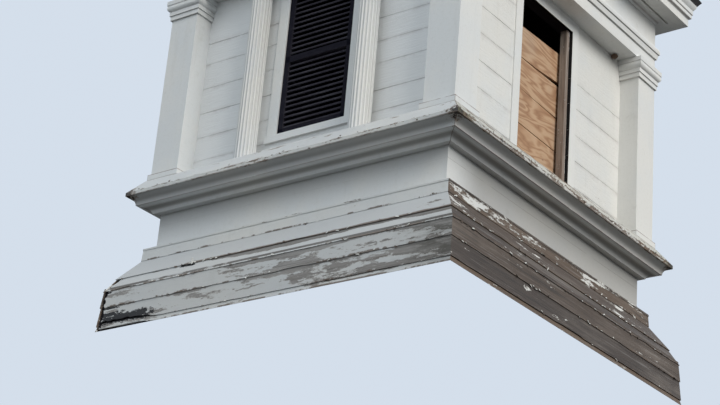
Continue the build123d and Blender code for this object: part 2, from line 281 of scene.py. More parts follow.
# Louvres, shingles and cap
LOUVRE_DARK = (0.052, 0.049, 0.064)
LOUVRE_DUST = (0.090, 0.087, 0.107)
LOUVRE_FRAME_SHADE = (0.008, 0.008, 0.014)
LOUVRE_WORN = (0.05, 0.05, 0.055)
GRANULES = ((0.016, 0.017, 0.020), (0.060, 0.060, 0.066))
GRANULE_STREAK = (0.085, 0.082, 0.080)
DARK_TAB = (0.008, 0.008, 0.010)
CAP_GREYS = ((0.13, 0.135, 0.14), (0.24, 0.24, 0.235))
CAP_RUN = (0.07, 0.055, 0.045)

# Lines of painted shade and dirt, and of the lip's wear and dashes: level, half height and share
PILASTER_LINES = (
    (DECK + 0.003, 0.008, 0.90),
    (DECK + PLINTH - 0.003, 0.006, 0.85),
    *((SOFFIT + level - 0.002, 0.0045, 0.36) for level in CAPITAL_LINES),
)
ENTABLATURE_LINES = (
    (ASTRAGAL - 0.003, 0.006, 0.45),
    (ASTRAGAL + 0.048, 0.006, 0.40),
    (ASTRAGAL + 0.127, 0.005, 0.20),
    (CORNICE - 0.038, 0.006, 0.60),
    (CORNICE - 0.012, 0.009, 0.50),
    (CORNICE + 0.0785, 0.006, 0.65),
    (CORNICE + 0.122, 0.005, 0.70),
)
LIP_WEAR = ((LIP_FOOT, 0.012, 0.20), (LIP_TOP, 0.034, 0.17))
LIP_DASHES = ((LIP_FOOT + 0.003, 0.006, 0.70), (LIP_TOP + 0.001, 0.004, 0.35))


def painted(name, grain):
    """A new finish of old white paint, mottled, with runs of grime and specks, and painted shade inside the
    belfry: its colour and height.
    """
    f = Finish(name)
    mottle = f.noise(1.1, detail=4, rough=0.6)
    base = f.blend(WHITE, COOL_WHITE, f.step(mottle, 0.35, 0.65))
    runs = f.noise(1.0, stretched("Z", 0.9, 9), detail=5, rough=0.6, shift=(3, 7, 1))
    base = f.blend(base, GRIME, f.step(runs, 0.55, 0.80) * 0.16)
    blotch = f.noise(6.0, detail=5, rough=0.65, shift=(9, 2, 5))
    base = f.blend(base, GRIME, f.step(blotch, 0.60, 0.78) * 0.20)
    patina = f.noise(38.0, detail=4, rough=0.7, shift=(1, 6, 2))
    base = f.blend(base, GRIME, f.step(patina, 0.46, 0.74) * 0.09)
    spots = f.cells(5.0)
    rare = f.add("ShaderNodeSeparateColor", {}, {0: f.cells(5.0, output="Color")}, 0)
    specks = (1 - f.step(spots, 0.014, 0.026)) * f.step(rare, 0.62, 0.66)
    base = f.blend(base, SPECK, specks * 0.85)
    outward = f.math("MAXIMUM", abs(f.x), abs(f.y))
    # Painted shade: the belfry's inside, bare old wood, is painted near black
    inside = 1 - f.step(outward, WALL_BACK + 0.0005, WALL_BACK + 0.002)
    base = f.blend(base, INSIDE_SHADE, inside)  # the belfry's inside is dark
    fine = f.noise(120.0, detail=2)
    brush = f.noise(16.0, stretched(grain, 0.25, 3.5), detail=4, rough=0.6)
    return f, base, fine * 0.5 + brush * 0.9


def bare_boards(f, grain, tones):
    """Colour and height of weathered bare wood, with its grain along an axis."""
    dark, middle, pale = tones
    fibres = f.noise(9.0, stretched(grain, 0.22, 9), detail=6, rough=0.7, distortion=0.3)
    broad = f.noise(2.2, stretched(grain, 0.35, 3.0), detail=4, rough=0.6, shift=(4, 1, 8))
    base = f.blend(middle, pale, f.step(broad, 0.40, 0.68))
    base = f.blend(base, dark, f.step(fibres, 0.50, 0.72))
    stain = f.noise(2.6, detail=4, shift=(1, 12, 3))
    base = f.blend(base, dark, f.step(stain, 0.56, 0.75) * 0.55)
    return base, fibres


def casing_paint(name):
    """Paint on the flat boards round the openings."""
    f, base, height = painted(name, "Z")
    return f.finish(reveal_shade(f, base), 0.55, height, 0.7, 0.0016)


def pilaster_paint(name):
    """Paint on the corner posts, with painted shade and dirt under the capital's fillets and round the
    plinth.
    """
    f, base, height = painted(name, "Z")
    # Painted shade and dirt: broken dark lines under the fillets and at the plinth
    broken = f.step(f.noise(6.0, (1.0, 1.0, 0.2), detail=5, rough=0.7, shift=(7, 2, 2)), 0.30, 0.55)
    base = f.blend(base, LINE_SHADE_AND_DIRT, f.lines(PILASTER_LINES) * broken)
    below_plinth_top = 1 - f.step(f.z, DECK + PLINTH, DECK + PLINTH + 0.004)
    mitre = f.band(abs(f.x) - abs(f.y), 0.0, 0.004) * below_plinth_top
    base = f.blend(base, SPECK, mitre * 0.9)
    return f.finish(base, 0.55, height, 0.7, 0.0016)


def entablature_paint(name, grain):
    """Paint on the entablature and cornice, with red-brown dirt and painted shade in the sunk lines and the
    groove.
    """
    f, base, height = painted(name, grain)
    uneven = f.noise(2.5, stretched(grain, 1, 0.2), detail=4, shift=(1, 4, 9))
    across = abs(f.x) if grain == "Y" else abs(f.y)
    groove = f.step(across, GROOVE_START - 0.004, GROOVE_START)
    groove = groove - f.step(across, GROOVE_END, GROOVE_END + 0.004)
    sunk = f.step(f.z, CORNICE - 0.001, CORNICE + 0.004) - f.step(f.z, CORNICE + 0.030, CORNICE + 0.032)
    # Painted shade and dirt: dark lines in the sunk lines, under the fillets and in the soffit's groove
    dirt = f.lines(ENTABLATURE_LINES) + groove * sunk * 0.12
    base = f.blend(base, LINE_SHADE_AND_DIRT, dirt * f.step(uneven, 0.15, 0.50))
    return f.finish(base, 0.55, height, 0.7, 0.0016)


def column_paint(name):
    """Paint on the fluted columns, with painted shade in the flutes' hollows."""
    f, base, height = painted(name, "Z")
    aside = abs(f.x) - COLUMN_SPACING
    ahead = abs(f.y) - (SIDING + COLUMN_OFFSET)
    radius = f.math("SQRT", aside * aside + ahead * ahead) + (f.z - DECK) * COLUMN_TAPER
    # Painted shade in the flutes' hollows
    flutes = 1 - f.step(radius, FLUTE_RADIUS, FLUTE_RADIUS + 0.005)
    base = f.blend(base, FLUTE_SHADE, flutes * 0.36)
    return f.finish(base, 0.55, height, 0.5, 0.0010)


def reveal_shade(f, base):
    """Painted shade, near black, on the cut edges of the boarded opening."""
    jamb = OPENING["Y"]
    edge = f.band(abs(f.y), jamb, 0.0012)
    edge = edge + f.band(f.z, HEAD, 0.0012) * (1 - f.step(abs(f.y), jamb, jamb + 0.001))
    behind = f.step(f.x, 1.0, 1.1) * (1 - f.step(f.x, SIDING + 0.0095, SIDING + 0.0115))
    # Painted shade on the reveal faces
    return f.blend(base, REVEAL_SHADE, edge * behind)


def siding_paint(name, grain):
    """Painted boards whose tone differs a little from board to board."""
    f, base, height = painted(name, grain)
    # Painted light: the front and back boards, which lie in shade, are painted lighter
    if grain == "X":
        base = f.blend(base, PAINTED_LIGHT_WHITE, 0.85)
    base = f.blend(base, GRIME, f.attribute("tone") * 0.07)
    broken = f.step(f.noise(5.0, detail=5, rough=0.7), 0.38, 0.62)
    base = f.blend(base, LINE_SHADE_AND_DIRT, f.attribute("wear") * broken * (0.28 if grain == "X" else 0.24))
    cracks = f.noise(7.0, stretched(grain, 0.35, 4.0), detail=6, rough=0.75, shift=(2, 9, 4))
    cracked = f.step(f.noise(2.0, shift=(5, 1, 1)), 0.50, 0.62)
    base = f.blend(base, LINE_SHADE_AND_DIRT, f.band(cracks, 0.5, 0.006) * cracked * 0.35)
    if grain == "Y":
        base = reveal_shade(f, base)
    return f.finish(base, 0.55, height, 0.9, 0.0028)


def pedestal_paint(name, grain):
    """Paint on the wide pedestal boards, with the thin joint between them."""
    f, base, height = painted(name, grain)
    wobble = f.noise(1.5, stretched(grain, 1, 0.1), detail=3)
    gaps = f.step(f.noise(3.0, stretched(grain, 1, 0.1), detail=3, shift=(2, 2, 2)), 0.34, 0.46)
    joint = f.band(f.z + wobble * 0.012, PEDESTAL_JOINT, 0.0035) * gaps * (1.0 if grain == "Y" else 0.25)
    base = f.blend(base, DARK_WOOD, joint * 0.45)

    # Painted shade under the ledge, with some grime: darker toward the ledge, and on the sunlit side away
    # from the near corner
    if grain == "X":
        shade = f.step(f.z, 0.84, 1.09) * 0.42 + 0.11
    else:
        shade = f.step(f.z, 0.82, 1.01) * 0.16 + f.step(f.y, -1.42, -0.95) * 0.46 + 0.04
    base = f.blend(base, HOLLOW_SHADE_AND_DIRT, shade)
    return f.finish(base, 0.55, height - joint * 2, 0.5, 0.0012)


def ledge_shade_and_dirt(f, grain, coat, patchy):
    """The ledge's coat with painted shade and dirt in the crown's hollow and the bed moulding, and dirt on
    the lip and on the top.
    """
    # Painted shade and dirt: darker under the lip, in the crown's hollow, in the bed moulding and under it
    foot_shade_and_dirt = 0.42 if grain == "X" else 0.62
    lighter_near_lip = 0.62 if grain == "X" else 0.80
    crown = f.step(f.z, CROWN_FOOT + 0.001, CROWN_FOOT + 0.005) * foot_shade_and_dirt
    crown = crown + f.step(f.z, CROWN_FOOT + 0.018, CROWN_FOOT + 0.060) * (1 - foot_shade_and_dirt)
    crown = crown - f.step(f.z, CROWN_FOOT + 0.036, LIP_FOOT - 0.004) * lighter_near_lip
    crown = crown - f.step(f.z, LIP_FOOT - 0.0015, LIP_FOOT + 0.0015) * (1 - lighter_near_lip)
    bed = f.step(f.z, LEDGE + 0.016, BED_TOP - 0.007) - f.step(f.z, BED_TOP - 0.0015, BED_TOP + 0.0015)
    under = 1 - f.step(f.z, LEDGE, LEDGE + 0.004)
    deep, everywhere = (0.74, 0.10) if grain == "X" else (0.60, 0.17)
    coat = f.blend(coat, HOLLOW_SHADE_AND_DIRT, crown * deep + bed * 0.62 + under * 0.2 + everywhere)
    face = f.step(f.z, LIP_FOOT - 0.001, LIP_FOOT + 0.001) - f.step(f.z, LIP_TOP - 0.001, LIP_TOP + 0.001)
    coat = f.blend(coat, GRIME, face * 0.16)
    top_grime = f.step(f.z, LIP_TOP + 0.002, LIP_TOP + 0.009) * (0.30 + patchy * 0.35)
    coat = f.blend(coat, COOL_GREY if grain == "X" else GRIME, top_grime)
    # A broken dark seam at the crown's foot: painted shade and dirt
    broken = f.step(f.noise(3.0, stretched(grain, 1, 0.1), detail=5, rough=0.7), 0.34, 0.50)
    seam = f.band(f.z, CROWN_FOOT + 0.0005, 0.0045) * broken
    return f.blend(coat, LINE_SHADE_AND_DIRT, seam * (0.85 if grain == "Y" else 0.5))


def ledge_paint(name, grain):
    """Paint on the ledge: grimy and with painted shade in its hollow, flaked along the lip and the sloping
    top.
    """
    f, coat, height = painted(name, grain)
    patchy = f.noise(2.2, detail=5, rough=0.65, shift=(5, 5, 1))
    coat = ledge_shade_and_dirt(f, grain, coat, patchy)
    ragged = f.noise(9.0, stretched(grain, 0.60, 2.0), detail=9, rough=0.74, distortion=0.5)
    lip = f.lines(LIP_WEAR) + (0.01 if grain == "X" else 0.10)
    wear = f.band(f.z, DECK - 0.020, 0.060) * 0.11 + lip * f.step(f.z, LIP_FOOT - 0.006, LIP_FOOT + 0.004)
    wear = wear + f.step(patchy, 0.50, 0.72) * f.step(f.z, LIP_FOOT - 0.010, LIP_FOOT + 0.010) * 0.10
    bare = f.step(wear + 0.28 - ragged, -0.012, 0.012)
    wood, fibres = bare_boards(f, grain, LEDGE_TONES)
    base = f.blend(coat, wood, bare)
    mitre = f.band(abs(f.x) - abs(f.y), 0.0, 0.0070) * f.step(patchy, 0.28, 0.40)
    base = f.blend(base, SPECK, mitre * 0.85)

    # The lip's corners are rotten, and mossy on the sunlit side
    aside = f.math("MAXIMUM", abs(f.x), abs(f.y)) - LIP_REACH
    corner = f.math("MINIMUM", abs(f.x), abs(f.y)) - LIP_REACH
    rise = f.z - LIP_FOOT - 0.012
    away = f.math("SQRT", aside * aside + corner * corner + rise * rise)
    crumbs = f.noise(34.0, detail=5, rough=0.75, shift=(4, 4, 4))
    decayed = 1 - f.step(away + (crumbs - 0.5) * 0.34, 0.080, 0.110)
    base = f.blend(base, BROWN_WOOD, decayed * 0.75)
    rotten = 1 - f.step(away + (crumbs - 0.5) * 0.30, 0.056, 0.070)
    base = f.blend(base, ROT, rotten * 0.95)
    if grain == "Y":
        green = (1 - f.step(away, 0.05, 0.50)) * f.step(crumbs, 0.46, 0.58)
        base = f.blend(base, MOSS, green * f.step(f.z, LIP_FOOT - 0.004, LIP_FOOT) * 0.7)

    # Broken brown dashes along the lip's two edges
    broken = f.step(f.noise(4.0, stretched(grain, 1, 0.2), detail=6, rough=0.7, shift=(6, 1, 3)), 0.36, 0.56)
    if grain == "X":
        broken = broken + f.step(f.x, 1.15, 1.45) * 0.6
    base = f.blend(base, DASH_BROWN, f.lines(LIP_DASHES) * broken)
    height = height * 0.6 + (1 - bare) * 1.6 + fibres * bare - rotten * 3
    return f.finish(base, 0.62, height, 0.8, 0.0016)


# Rotted holes in the front skirt, painted near black as painted shade: middle along and up, half length and
# half height
DARK_HOLES = (
    (-0.865, 0.455, 0.080, 0.012),
    (-1.600, 0.188, 0.110, 0.009),
    (-1.640, 0.330, 0.050, 0.009),
    (-1.390, 0.088, 0.270, 0.038),
    (-1.560, 0.130, 0.110, 0.020),
)


def skirt_hole_shade_and_damp(f, grain, base, bare):
    """Holes painted as near-black shade on the front skirt's boards, and damp at the low end near the sunlit
    side.
    """
    crumbs = f.noise(22.0, stretched(grain, 0.7, 1.4), detail=6, rough=0.75, shift=(2, 5, 5)) - 0.5
    for x, z, half_length, half_height in DARK_HOLES:
        # Painted shade: each hole is a near-black patch on the board's face
        far = f.math("MAXIMUM", abs(f.x - x) * (half_height / half_length), abs(f.z - z))
        hole = 1 - f.step(far + crumbs * half_height * 3.2, half_height * 0.92, half_height)
        base = f.blend(base, HOLE_SHADE, hole * f.step(-1 * f.y, 0.0, 0.1))
    drift = f.noise(3.0, detail=5, shift=(3, 3, 8))
    low = 1 - f.step(f.z, 0.26, THIRD_COURSE + 0.002)
    damp = f.step(f.x + drift * 0.6, 1.50, 1.90) * low * (0.45 + bare * 0.40)
    streaks = f.noise(16.0, stretched(grain, 0.25, 1.4), detail=7, rough=0.78, shift=(7, 7, 2))
    return f.blend(base, DAMP, damp * (0.35 + f.step(streaks, 0.40, 0.56) * 0.65))


def worn_paint(name, grain):
    """Flaking paint on the skirt's boards, bare where the boards' wear says so."""
    f, coat, height = painted(name, grain)
    wood, fibres = bare_boards(f, grain, SKIRT_TONES[grain])
    # Grime and painted shade: the skirt's coat is darkened all over
    coat = f.blend(coat, GRIME, 0.12)
    tone = f.attribute("tone")
    if grain == "X":
        wood = f.blend(wood, DARK_WOOD, tone * 0.35)
        # Painted shade and greying: the front's coat is greyed by course, most on the second course
        course_shade = 0.16 + (1 - f.step(f.z, SECOND_COURSE - 0.003, SECOND_COURSE + 0.003)) * 0.60
        course_shade = course_shade - (1 - f.step(f.z, THIRD_COURSE - 0.004, THIRD_COURSE + 0.002)) * 0.12
        lower = f.step(f.z, FOURTH_COURSE - 0.001, FOURTH_COURSE + 0.004)
        coat = f.blend(coat, COOL_GREY, course_shade - (1 - lower) * 0.14)
        wood = f.blend(wood, AGED_WOOD, 0.18 + lower * 0.45)
    else:
        wood = f.blend(wood, BROWN_WOOD, tone * 0.6)
    grooves = f.noise(34.0, stretched(grain, 0.035, 1.3), detail=5, rough=0.75, shift=(3, 3, 6))
    wood = f.blend(wood, GROOVE_BROWN, f.step(grooves, 0.52, 0.64) * (0.35 if grain == "X" else 0.65))
    ridges = 1 - f.step(grooves, 0.34, 0.44)
    wood = f.blend(wood, PALE_WOOD, ridges * (0.20 if grain == "X" else 0.22))

    # Paint is gone where the wear is more than islands and crackle leave
    islands = f.noise(4.5, stretched(grain, 0.50, 2.6), detail=9, rough=0.64, distortion=0.25)
    crackle = f.noise(30.0, stretched(grain, 0.8, 1.7), detail=5, rough=0.75, shift=(6, 3, 2))
    depth = f.attribute("wear") - islands - (crackle - 0.5) * 0.26
    bare = f.step(depth, -0.005, 0.005)
    # A brown rim round the flakes: brown stain, and painted shadow of the paint's edge
    coat = f.blend(coat, BROWN_WOOD, f.band(depth, -0.012, 0.018) * 0.50)
    base = f.blend(coat, wood, bare)
    along_foot = f.noise(5.0, stretched(grain, 0.9, 0.2), detail=6, rough=0.7, shift=(8, 8, 1))
    dashes = f.step(f.attribute("foot") * 0.86 - along_foot, -0.03, 0.03)
    base = f.blend(base, DASH_BROWN, dashes * 0.85)
    if grain == "X":
        base = skirt_hole_shade_and_damp(f, grain, base, bare)
    height = height * 0.6 + (1 - bare) * 2.0 + (fibres + grooves) * bare * 1.2
    return f.finish(base, 0.66, height, 0.9, 0.0020)


def old_wood(name, grain, tones, gloss=0.5):
    """Bare, weathered wood."""
    f = Finish(name)
    base, fibres = bare_boards(f, grain, tones)
    return f.finish(base, 0.8, fibres, 0.9, 0.0015, gloss=gloss)


def plywood(name, grain):
    """Rotary-cut boards in the opening: swirling light and dark bands, knots and a weathered face."""
    f = Finish(name)
    field = f.noise(1.0, stretched(grain, 1.15, 6.2), detail=3.0, rough=0.42, distortion=0.75)
    rings = f.math("PINGPONG", field * 17, 1.0)
    fibres = f.noise(14.0, stretched(grain, 0.12, 6), detail=5, rough=0.7)
    base = f.add("ShaderNodeValToRGB", {"stops": PLYWOOD_RINGS}, {0: rings})
    base = f.blend(base, PLYWOOD_FIBRE, f.step(fibres, 0.52, 0.74) * 0.30)
    fade = f.noise(1.6, detail=4, shift=(8, 3, 4))
    base = f.blend(base, PLYWOOD_FADED, f.step(fade, 0.42, 0.70) * 0.50)
    knots = f.cells(3.1, stretched(grain, 0.9, 1.5))
    base = f.blend(base, PLYWOOD_KNOT, (1 - f.step(knots, 0.02, 0.06)) * 0.7)
    return f.finish(base, 0.7, fibres + rings * 0.15, 0.5, 0.0008)


def post_wood(name):
    """The old stile: grey-brown, with leftovers of white paint and moss at its foot."""
    f = Finish(name)
    wood, fibres = bare_boards(f, "Z", STILE_TONES)
    streaks = f.noise(40.0, (1.0, 1.0, 0.03), detail=4, rough=0.7)
    wood = f.blend(wood, STILE_STREAK, f.step(streaks, 0.54, 0.66) * 0.7)
    ragged = f.noise(14.0, (3.0, 3.0, 0.5), detail=7, rough=0.7)
    left = f.step(ragged + f.step(f.y, POST_EDGE - 0.014, POST_EDGE - 0.001) * 0.11, 0.62, 0.65)
    base = f.blend(wood, WHITE, left * 0.75)
    moss = f.step(f.noise(30.0, detail=5, rough=0.7) - (f.z - DECK) * 3.0, 0.30, 0.42)
    base = f.blend(base, STILE_MOSS, moss)
    return f.finish(base, 0.8, fibres + left, 0.9, 0.0014)


def louvre_paint(name):
    """Dark blue-black paint, dull with dust, and painted shade on the frame."""
    f = Finish(name)
    dust = f.noise(5.0, (1.0, 1.0, 2.5), detail=5, rough=0.65)
    base = f.blend(LOUVRE_DARK, LOUVRE_DUST, f.step(dust, 0.42, 0.72))
    # Painted shade: the frame, its stiles and rails, is painted darker than the blades
    aside = f.math("MINIMUM", abs(f.x), abs(f.y))
    clear = OPENING["X"] - LOUVRE_STILE
    frame_edge = f.step(aside, clear - 0.001, clear + 0.001)
    for low, high in LOUVRE_RAILS:
        frame_edge = frame_edge + f.step(f.z, low, low + 0.001) - f.step(f.z, high, high + 0.001)
    base = f.blend(base, LOUVRE_FRAME_SHADE, frame_edge * 0.80)
    worn = f.noise(30.0, (0.6, 0.6, 2.0), detail=4)
    base = f.blend(base, LOUVRE_WORN, f.step(worn, 0.66, 0.74) * 0.4)
    return f.finish(base, 0.85, worn, 0.4, 0.0008, gloss=0.02)


def shingle(name, varied):
    """Mineral granules, near black, with a tone to each tab."""
    f = Finish(name)
    granules = f.noise(260.0, detail=2, rough=0.7)
    streaks = f.noise(3.0, (1.0, 1.0, 0.5), detail=4)
    base = f.blend(*GRANULES, f.step(granules, 0.35, 0.70))
    base = f.blend(base, GRANULE_STREAK, f.step(streaks, 0.48, 0.75) * 0.35)
    if varied:
        base = f.blend(base, DARK_TAB, f.attribute("tone") * 0.6)
    return f.finish(base, 0.9, granules, 0.7, 0.0015)


def cap_metal(name):
    """Dull grey sheet metal with runs and blotches."""
    f = Finish(name)
    blotch = f.noise(9.0, detail=5, rough=0.6)
    runs = f.noise(6.0, (4.0, 4.0, 0.4), detail=4)
    base = f.blend(*CAP_GREYS, f.step(blotch, 0.35, 0.70))
    base = f.blend(base, CAP_RUN, f.step(runs, 0.58, 0.75) * 0.5)
    return f.finish(base, 0.5, blotch, 0.3, 0.001, metallic=0.7)


def chip_paint(name):
    """Loose chips: white paint, and some with their brown back or a splinter showing."""
    f, base, height = painted(name, "Z")
    base = f.blend(base, GRIME, 0.25)
    base = f.blend(base, CHIP_BACK, f.step(f.attribute("tone"), 0.60, 0.62))
    return f.finish(base, 0.65, height, 0.7, 0.0012)


def mud(name):
    """Dried mud of an insect's nest."""
    f = Finish(name)
    lumps = f.noise(160.0, detail=4, rough=0.7)
    base = f.blend(*MUD, f.step(lumps, 0.35, 0.7))
    return f.finish(base, 0.9, lumps, 1.0, 0.003)


# The finishes made for boards along X and along Y, by side
ALONG = {}
for axis in ("X", "Y"):
    made = {
        "entablature": entablature_paint(f"entablature_paint_{axis}", axis),
        "siding": siding_paint(f"siding_paint_{axis}", axis),
        "pedestal": pedestal_paint(f"pedestal_paint_{axis}", axis),
        "ledge": ledge_paint(f"ledge_paint_{axis}", axis),
        "skirt": worn_paint(f"worn_paint_{axis}", axis),
        "sheathing": old_wood(f"sheathing_{axis}", axis, SHADED_SHEATHING_TONES, gloss=0.06),
    }
    ALONG |= {side: made for side in SIDES if GRAIN[side] == axis}
board_paint = casing_paint("casing_paint")
post_paint = pilaster_paint("pilaster_paint")
fluted_paint = column_paint("column_paint")
dark_paint = louvre_paint("louvre_paint")
floor_wood = old_wood("floor_wood", "X", FLOOR_TONES)
opening_wood = plywood("opening_boards_wood", "Y")
stile_wood = post_wood("stile_wood")
slope_shingle = shingle("slope_shingle", False)
tab_shingle = shingle("tab_shingle", True)
metal = cap_metal("cap_metal")
loose_paint = chip_paint("chip_paint")


def dress(node, material):
    """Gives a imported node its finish."""
    mesh = NODES[node].data
    mesh.materials.clear()
    mesh.materials.append(material)


for side in SIDES:
    dress(f"{side}_pedestal_wall", ALONG[side]["pedestal"])
    dress(f"{side}_ledge", ALONG[side]["ledge"])
    dress(f"{side}_casing", board_paint)
    dress(f"{side}_entablature", ALONG[side]["entablature"])
    dress(f"{side}_cornice", ALONG[side]["entablature"])
    dress(f"{side}_spire_slope", slope_shingle)
for side in ("front", "back", "left"):
    dress(f"{side}_louvre", dark_paint)
for side in ("front", "back"):
    for hand in ("left", "right"):
        dress(f"{side}_{hand}_column", fluted_paint)
for corner in ("front_left", "front_right", "back_right", "back_left"):
    dress(f"{corner}_pilaster", post_paint)
dress("belfry_floor", floor_wood)
dress("right_opening_boards", opening_wood)
dress("right_opening_post", stile_wood)
dress("spire_cap", metal)


def linked(name, data):
    """A new object in the scene."""
    thing = bpy.data.objects.new(name, data)
    bpy.context.scene.collection.objects.link(thing)
    return thing


def closed(name, bm, materials):
    """Closes a mesh as a new object with its materials."""
    mesh = bpy.data.meshes.new(name)
    bm.to_mesh(mesh)
    bm.free()
    for material in materials:
        mesh.materials.append(material)
    return linked(name, mesh)


def new_piece(name, bm, materials, side="front"):
    """A piece that rides on the steeple, turned to its side."""
    bm.transform(TURN[side])
    bmesh.ops.recalc_face_normals(bm, faces=bm.faces[:])
    piece = closed(name, bm, materials)
    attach(piece, "root")
    return piece


def timber(bm, columns, rows, shape, material=0, tone=0.0, wear=None, foot=None):
    """A board: a cube cut into columns and rows, then shaped by shape(along, deep, up), each 0 to 1."""
    first_vert = len(bm.verts)
    first_face = len(bm.faces)
    bmesh.ops.create_cube(bm, size=1.0, matrix=Matrix.Translation((0.5, 0.5, 0.5)))
    for axis, cuts in ((0, columns - 1), (2, rows - 1)):
        if cuts:
            bm.verts.ensure_lookup_table()
            edges = dict.fromkeys(edge for vert in bm.verts[first_vert:] for edge in vert.link_edges)
            long = [e for e in edges if abs(e.verts[0].co[axis] - e.verts[1].co[axis]) > 0.5]
            bmesh.ops.subdivide_edges(bm, edges=long, cuts=cuts, use_grid_fill=True)
    bm.verts.ensure_lookup_table()
    bm.faces.ensure_lookup_table()
    layers = bm.verts.layers.float
    tone_layer = layers.get("tone") or layers.new("tone")
    wear_layer = layers.get("wear") or layers.new("wear")
    foot_layer = layers.get("foot") or layers.new("foot")
    for vert in bm.verts[first_vert:]:
        along, deep, up = vert.co
        vert.co = shape(along, deep, up)
        vert[tone_layer] = tone
        vert[wear_layer] = wear(vert.co, up) if wear else 0.0
        vert[foot_layer] = foot(vert.co) if foot else 0.0
    for face in bm.faces[first_face:]:
        face.material_index = material


def mixed(low, high, part):
    return low + (high - low) * part


def plain_board(bm, low, high, columns=1, rows=1, **looks):
    """A board that fills the box between two corners."""

    def shape(*parts):
        return Vector([mixed(*ends) for ends in zip(low, high, parts)])

    timber(bm, columns, rows, shape, **looks)


# Flush boards of the belfry walls: the joints' levels above the deck, in the left bay and the right
JOINTS = {
    "X": ((0.196, 0.415, 0.645, 0.883, 1.119, 1.322), (0.221, 0.408, 0.653, 0.856, 1.069, 1.310)),
    "Y": ((0.196, 0.442, 0.681, 0.928, 1.167, 1.420), (0.200, 0.442, 0.681, 0.928, 1.167)),
}
JOINT_GAP = 0.0034
SIDING_DEPTH = 0.018
APRON_JOINT = 0.150
SHEATHING = 1  # the sheathing's place among a piece's materials, after its boards' paint


def edge_dirt(place, up):
    """Dirt that gathers under the joint above a board, and a little over the one below."""
    return max(0.0, (up - 0.85) / 0.15) + 0.5 * max(0.0, 1 - up / 0.10)


def siding(side):
    """The wall as flush boards in two bays, over a rough core that has the opening cut through."""
    rng = random.Random(f"siding {side}")
    bm = bmesh.new()
    opening = OPENING[GRAIN[side]]
    sill = DECK if side == "right" else LOUVRE_SILL
    front = -SIDING + SIDING_DEPTH
    for (x0, x1), levels in zip(((-BAY_END, -opening), (opening, BAY_END)), JOINTS[GRAIN[side]]):
        edges = [DECK] + [DECK + level for level in levels] + [SOFFIT]
        for low, high in zip(edges, edges[1:]):
            proud = rng.uniform(-0.0012, 0.0006)
            cup = rng.uniform(-0.0008, 0.0008)
            seed = rng.uniform(0, 100)
            tilt = rng.uniform(-0.0015, 0.0015)

            def shape(along, deep, up):
                x = mixed(x0, x1, along)
                wave = noise.noise(Vector((x * 4, seed, 0))) * 0.0016
                z = mixed(low + JOINT_GAP / 2, high - JOINT_GAP / 2, up) + tilt * (along - 0.5) + wave
                y = mixed(-SIDING, front, deep)
                if deep < 0.5:
                    y -= min(proud + cup * math.sin(math.pi * up), 0.0)
                return Vector((x, y, min(max(z, DECK), SOFFIT)))

            timber(bm, 16, 8, shape, tone=rng.uniform(0, 1), wear=edge_dirt)
    if sill > DECK:
        for z0, z1 in ((DECK, DECK + APRON_JOINT), (DECK + APRON_JOINT, sill)):
            corners = (-opening, -SIDING, z0), (opening, front, z1 - JOINT_GAP / 2)
            plain_board(bm, *corners, 12, 2, tone=rng.uniform(0, 1))
    core = [(-BAY_END, -opening, DECK, SOFFIT), (opening, BAY_END, DECK, SOFFIT)]
    core.append((-opening, opening, HEAD, SOFFIT))
    if sill > DECK:
        core.append((-opening, opening, DECK, sill))
    for x0, x1, z0, z1 in core:
        plain_board(bm, (x0, front, z0), (x1, -WALL_BACK, z1), material=SHEATHING)
    materials = [ALONG[side]["siding"], ALONG[side]["sheathing"]]
    piece = new_piece(f"{side}_siding", bm, materials, side)
    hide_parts(f"{side}_wall")


for side in SIDES:
    siding(side)

# Skirt boards, one value to a course: how thick they stand at their feet, and how much of each is bare
LAPS = (0.0045, 0.0100, 0.0060, 0.0070, 0.0080, 0.0080)
BARE = {
    "front": (0.30, 0.30, 0.335, 0.445, 0.455, 0.40),
    "right": (0.56, 0.60, 0.64, 0.66, 0.68, 0.64),
    "back": (0.31, 0.34, 0.38, 0.44, 0.47, 0.40),
    "left": (0.36, 0.40, 0.44, 0.48, 0.50, 0.46),
}
# How much more is bare under the lap at a course's top, and the share of PEELED's depth that it reaches
UNDER_LAP = (0.0, 0.0, 0.40, 0.16, 0.16, 0.05)
LAP_DEPTH = (0.0, 0.0, 1.0, 0.55, 0.55, 0.4)
# How much more is bare along the foot, and how much of the foot's edge is brown
ALONG_FOOT = (0.05, 0.05, 0.08, 0.06, 0.0, -0.06)
FOOT_GONE = (0.535, 0.80, 0.56, 0.55, 0.50, 0.60)
# Places along the side, each with the depth of the strip peeled under the laps
PEELED = (
    (-0.80, 0.0), (-0.20, 0.056), (0.20, 0.062), (0.45, 0.050),
    (0.70, 0.036), (0.95, 0.026), (1.20, 0.036), (1.55, 0.052),
)
# Places along the side, each with how much more is bare, for the two tall lower courses
MORE_BARE = {
    3: (
        (-1.5, -0.04), (-0.4, -0.04), (0.05, 0.0), (0.50, 0.08),
        (0.95, 0.0), (1.30, -0.02), (1.52, 0.02), (1.70, 0.08),
    ),
    4: (
        (-1.5, -0.03), (-0.4, -0.06), (0.10, -0.04), (0.55, 0.06),
        (0.95, 0.01), (1.25, 0.05), (1.50, 0.10), (1.70, 0.12),
    ),
}
SKIRT_COLUMNS = 110
SKIRT_ROWS = 10
FINER_FOOT = 1.5  # the rows lie closer toward the foot
TUCK = 0.030
CAP_BOARD_RISE = 0.040
CAP_BOARD_DEPTH = 0.016
BACKING_GAP = 0.0135
BACKING_DEPTH = 0.018
# The rotten corner: where it starts along the side, how high it eats into the lowest courses' feet,
# the share of a board's length that its ragged end takes, and the depth of its bites and splinters
ROT_START = -1.05
ROT_RISE = {4: 0.052, 5: 0.030}
RAGGED_END = 0.20
BITE = 0.070
SPLINTER = 0.018


